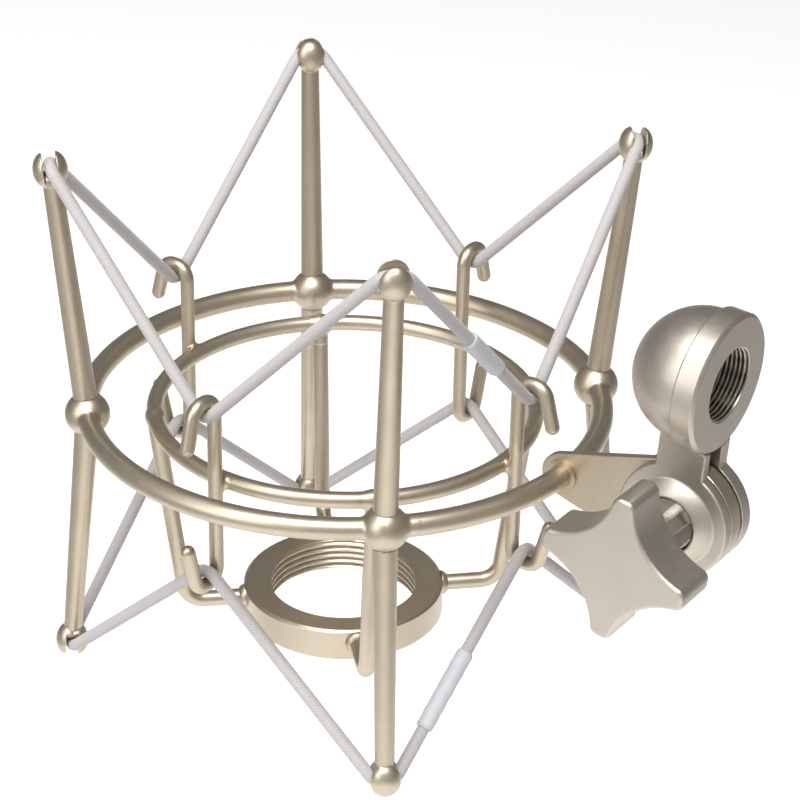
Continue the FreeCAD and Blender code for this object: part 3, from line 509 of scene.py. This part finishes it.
def turned_piece(name, outline, pitch, depth, around, place, material, root_shade_material=None):
    """A turned ring with a helical thread, whose faces deep in the thread's roots may take a second,
    near-black material: painted shade in the grooves.

    The outline's points are radius, height and share of the thread's depth.
    """
    verts, faces, shaded_root_faces = [], [], []
    count = len(outline)
    for step in range(around):
        angle = 2 * math.pi * step / around
        for radius, height, share in outline:
            wide = radius + share * depth * thread_cut(height / pitch - step / around)
            verts.append(place @ Vector((wide * math.cos(angle), wide * math.sin(angle), height)))
    for step in range(around):
        other = (step + 1) % around
        for k in range(count):
            nxt = (k + 1) % count
            faces.append((step * count + nxt, other * count + nxt, other * count + k, step * count + k))
            level = (outline[k][1] + outline[nxt][1]) / 2
            threaded = outline[k][2] * outline[nxt][2]
            shaded_root_faces.append(threaded * thread_cut(level / pitch - step / around) > 0.5)
    piece = new_piece(name, verts, faces, material, crease=24.0)
    # Faces deep in the thread's roots get the near-black material: painted shade in the grooves.
    if root_shade_material:
        piece.data.materials.append(root_shade_material)
        piece.data.polygons.foreach_set("material_index", [int(flag) for flag in shaded_root_faces])
    return piece


def bore_line(radius, low, high, pitch, rows=14):
    """Points up a threaded bore, several to each turn of the thread."""
    steps = round((high - low) / pitch * rows)
    return [(radius, low + (high - low) * k / steps, 1.0) for k in range(steps + 1)]


def plain_line(*points):
    """Points of an outline that carry no thread."""
    return [(radius, height, 0.0) for radius, height in points]


def yoke_place():
    """From the yoke's own frame, at the clamp screw, to the row's frame."""
    origin = polar(RING_RADIUS + ARM_LENGTH, ARM_ANGLE, RING_LEVEL)
    heading = Matrix.Rotation(math.radians(ARM_ANGLE), 4, "Z")
    tilt = Matrix.Rotation(math.radians(YOKE_TILT), 4, "Y")
    return Matrix.Translation(origin) @ (heading @ tilt)


# Narrow bands beside each chamfer keep the flat faces shading flat.
collar_line = bore_line(COLLAR_BORE, -COLLAR_DEPTH + 0.05, -0.35, COLLAR_PITCH) + plain_line(
    (COLLAR_BORE + 0.2, -0.12), (COLLAR_BORE + 0.35, 0.0), (COLLAR_BORE + 0.4, 0.0),
    (COLLAR_RADIUS - 0.78, 0.0), (COLLAR_RADIUS - 0.72, 0.0), (COLLAR_RADIUS - 0.62, -0.05),
    (COLLAR_RADIUS - 0.08, -0.5), (COLLAR_RADIUS, -0.62), (COLLAR_RADIUS, -0.68),
    (COLLAR_RADIUS, -COLLAR_DEPTH + 0.55), (COLLAR_RADIUS - 0.5, -COLLAR_DEPTH),
    (COLLAR_BORE + 0.3, -COLLAR_DEPTH))
collar = turned_piece("collar_with_thread", collar_line, COLLAR_PITCH, COLLAR_THREAD, 192,
                      Matrix.Identity(4), THREAD)
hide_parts("threaded_collar")
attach(collar, "cradle")

bush_line = bore_line(BUSH_BORE, -BUSH_DEPTH + 0.1, RIM_WIDTH - 0.4, BUSH_PITCH) + plain_line(
    (BUSH_BORE + 0.27, RIM_WIDTH - 0.15), (BUSH_BORE + 0.47, RIM_WIDTH),
    (BUSH_BORE + 0.52, RIM_WIDTH), (RIM_RADIUS - 0.82, RIM_WIDTH), (RIM_RADIUS - 0.75, RIM_WIDTH),
    (RIM_RADIUS - 0.68, RIM_WIDTH - 0.04), (RIM_RADIUS - 0.06, RIM_WIDTH - 0.66),
    (RIM_RADIUS, RIM_WIDTH - 0.75), (RIM_RADIUS, RIM_WIDTH - 0.8), (RIM_RADIUS, 0.3),
    (RIM_RADIUS, 0.25), (RIM_RADIUS - 0.15, 0.0), (BUSH_RADIUS, 0.0),
    (BUSH_RADIUS, -BUSH_DEPTH), (BUSH_BORE + 0.27, -BUSH_DEPTH))
bush_place = yoke_place() @ Matrix.Translation(BUSH_SEAT) @ Matrix.Rotation(math.pi / 2, 4, "Y")
bush = turned_piece("adapter_bush_with_thread", bush_line, BUSH_PITCH, BUSH_THREAD, 128,
                    bush_place, CASTING, PAINTED_ROOT_SHADE)
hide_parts("stand_thread_bush")
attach(bush, "adapter")


# ------------------------------------------------------------------ camera, floor and light

def place_camera():
    """A long lens, a little above the object and to the left of its front post."""
    data = bpy.data.cameras.new("camera")
    data.sensor_width = 36.0
    data.lens = 116.14
    camera = bpy.data.objects.new("camera", data)
    bpy.context.scene.collection.objects.link(camera)
    position = Vector(CAMERA_PLACE) * MM
    target = Vector(CAMERA_TARGET) * MM
    roll = math.radians(CAMERA_ROLL)
    ahead = (target - position).normalized()
    level_right = ahead.cross(Vector((0, 0, 1))).normalized()
    level_up = level_right.cross(ahead)
    right = level_right * math.cos(roll) + level_up * math.sin(roll)
    up = level_up * math.cos(roll) - level_right * math.sin(roll)
    pose = Matrix((right, up, -ahead)).transposed().to_4x4()
    pose.translation = position
    camera.matrix_world = pose
    data.clip_start, data.clip_end = 0.05, 20.0
    bpy.context.scene.camera = camera


def soft_light(name, place, aim, size, power):
    data = bpy.data.lights.new(name, "AREA")
    data.shape = "RECTANGLE"
    data.size, data.size_y = size
    data.energy = power
    lamp = bpy.data.objects.new(name, data)
    bpy.context.scene.collection.objects.link(lamp)
    lamp.location = place
    lamp.rotation_mode = "QUATERNION"
    lamp.rotation_quaternion = (Vector(aim) - Vector(place)).to_track_quat("-Z", "Y")


def floor_material():
    """White paper in the camera's view, grey to either side and close to the camera: a painted pool of
    light, with painted shade in the grey.

    The paper also glows faintly, painted light that keeps it white far from the lamps.
    """
    white, grey = (0.985, 0.985, 0.985), (0.33, 0.33, 0.33)
    material, tree, shader = node_material("floor_painted_light_pool", white, roughness=0.85)
    shader.inputs["Specular IOR Level"].default_value = 0.1
    coords = tree.nodes.new("ShaderNodeTexCoord")
    from_camera = tree.nodes.new("ShaderNodeMapping")
    from_camera.vector_type = "TEXTURE"
    from_camera.inputs["Location"].default_value = CAMERA_FOOT
    from_camera.inputs["Rotation"].default_value = (0.0, 0.0, CAMERA_HEADING)
    split = tree.nodes.new("ShaderNodeSeparateXYZ")
    tree.links.new(coords.outputs["Object"], from_camera.inputs["Vector"])
    tree.links.new(from_camera.outputs["Vector"], split.inputs["Vector"])
    # Grey beyond a widening wedge and close to the camera: painted shade around a painted pool of
    # light.
    width = ranged(tree, split.outputs["Y"], 0.0, 0.45, 0.0, 2.5)
    beyond = math_node(tree, "SUBTRACT", math_node(tree, "ABSOLUTE", split.outputs["X"]), width)
    painted_shade_aside = ranged(tree, beyond, 0.0, 1.0, 0.09, 0.17)
    near = ranged(tree, split.outputs["Y"], 1.0, 0.0, -0.15, 0.10)
    tinted(tree, shader, math_node(tree, "MAXIMUM", painted_shade_aside, near), white, grey)
    # A faint glow: painted light that keeps the floor white far from the lamps.
    shader.inputs["Emission Color"].default_value = (1.0, 1.0, 1.0, 1.0)
    shader.inputs["Emission Strength"].default_value = 0.17
    return material


def build_studio():
    """A floor far enough down for the frame to hang from its swivel, an uneven sky and two lamps."""
    hanging = RING_RADIUS + ARM_LENGTH + POST_SPREAD + NODE_BALL
    floor_level = RING_LEVEL - hanging
    half = 2500.0
    corners = [(-half, -half, floor_level), (half, -half, floor_level),
               (half, half, floor_level), (-half, half, floor_level)]
    floor = new_piece("studio_floor", corners, [(0, 1, 2, 3)], floor_material())
    world = bpy.data.worlds.new("studio")
    bpy.context.scene.world = world
    world.use_nodes = True
    tree = world.node_tree
    background = tree.nodes["Background"]
    coords = tree.nodes.new("ShaderNodeTexCoord")
    facing = tree.nodes.new("ShaderNodeVectorMath")
    facing.operation = "DOT_PRODUCT"
    facing.inputs[1].default_value = (-0.42, -0.85, 0.30)
    ramp = tree.nodes.new("ShaderNodeValToRGB")
    tree.links.new(coords.outputs["Generated"], facing.inputs[0])
    tree.links.new(ranged(tree, facing.outputs["Value"], 0.0, 1.0, -1.0, 1.0), ramp.inputs["Fac"])
    tree.links.new(ramp.outputs["Color"], background.inputs["Color"])
    stops = ramp.color_ramp.elements
    stops[0].position, stops[0].color = 0.0, (0.22, 0.22, 0.22, 1)
    stops[1].position, stops[1].color = 1.0, (0.60, 0.60, 0.60, 1)
    middle = stops.new(0.5)
    middle.color = (0.27, 0.27, 0.27, 1)
    background.inputs["Strength"].default_value = 1.0
    soft_light("overhead", (-0.2, -0.45, 1.15), (0, 0, 0.04), (0.8, 0.6), 17.0)
    soft_light("left_window", (-1.15, -0.75, 0.65), (0, 0, 0.04), (0.9, 1.1), 7.5)


place_camera()
build_studio()
bpy.context.scene.view_settings.view_transform = "Standard"
